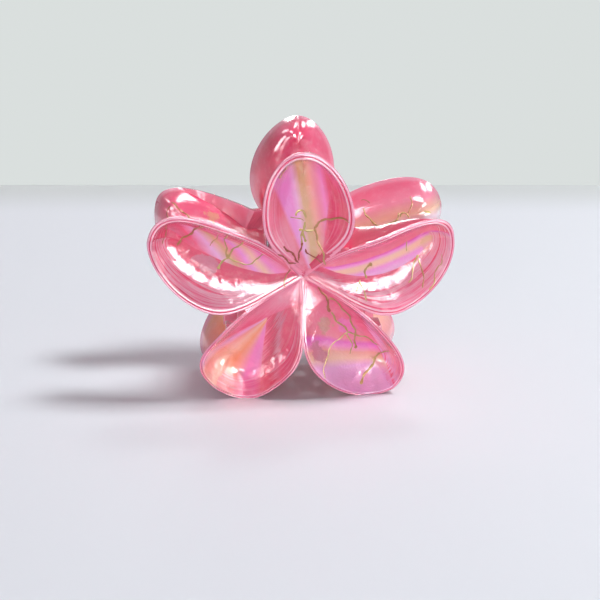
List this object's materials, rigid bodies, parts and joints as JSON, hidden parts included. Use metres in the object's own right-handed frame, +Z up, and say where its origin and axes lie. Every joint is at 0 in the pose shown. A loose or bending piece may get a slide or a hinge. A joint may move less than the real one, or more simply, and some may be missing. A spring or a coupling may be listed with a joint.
{
  "type": "flower hair claw clip",
  "caption": "Flower hair claw clip: two toothed flower jaws back to back on a hinge pin, held shut by a torsion spring; the top petals are squeezed to open it.",
  "frame": {"origin": "on the ground, below the middle of the hinge pin; the clip stands on the tips of its four lower petals", "axes": "+X along the hinge pin, +Z up towards the lever petals; the front flower faces -Y and the back flower +Y"},
  "size_m": [0.0816, 0.0522, 0.0691],
  "materials": {
    "pearl_plastic": "glossy pearl pink with iridescent lilac and peach bands and fine gold veins",
    "pin_steel": "polished",
    "spring_steel": "drawn wire"
  },
  "bodies": {
    "front_jaw": {"front_flower_jaw": "pearl_plastic", "hinge_pin": "pin_steel", "torsion_spring": "spring_steel"},
    "back_jaw": {"back_flower_jaw": "pearl_plastic"}
  },
  "joints": [
    {"name": "jaw_hinge", "type": "hinge", "parent": "front_jaw", "child": "back_jaw", "pos_m": [0, 0, 0.04], "axis": [1, 0, 0], "range_deg": [0, 60], "stiffness_Nm_per_rad": 0.2, "springref_deg": -28.65, "deforming": ["torsion_spring"]}
  ]
}
